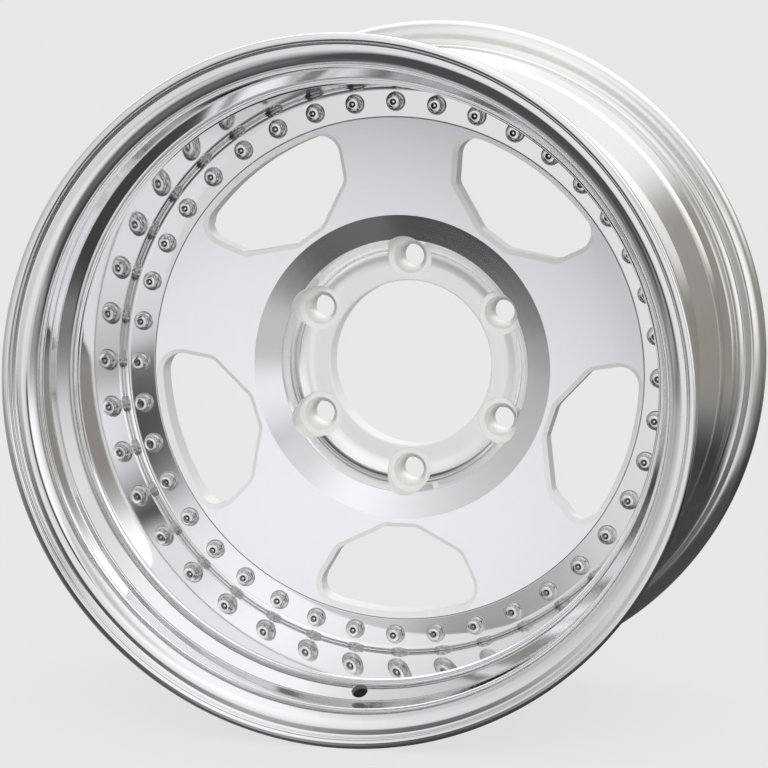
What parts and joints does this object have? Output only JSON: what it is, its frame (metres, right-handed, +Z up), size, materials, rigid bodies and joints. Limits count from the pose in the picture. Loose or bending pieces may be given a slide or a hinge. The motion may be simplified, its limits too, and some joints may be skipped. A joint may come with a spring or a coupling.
{
  "type": "car wheel",
  "caption": "Bare three-piece alloy car wheel: deep polished lip, bolted dished disc with windows, flanged rim bolts and a rear barrel.",
  "frame": {"origin": "on the axle line, in the middle of the rim's width", "axes": "+Y along the axle from the street side to the car, +Z up, +X to the right seen from the street"},
  "size_m": [0.4396, 0.255, 0.4396],
  "materials": {
    "polished_lip": "mirror polished",
    "barrel_alloy": "satin turned",
    "disc_alloy": "satin with a polished collar",
    "bolt_chrome": "bright",
    "nut_steel": "zinc plated",
    "sealant": "matt"
  },
  "bodies": {
    "root": {"outer_rim": "polished_lip", "inner_rim": "barrel_alloy", "centre_disc": "disc_alloy", "rim_bolts": "bolt_chrome", "rim_nuts": "nut_steel", "rim_seal": "sealant"}
  },
  "joints": []
}
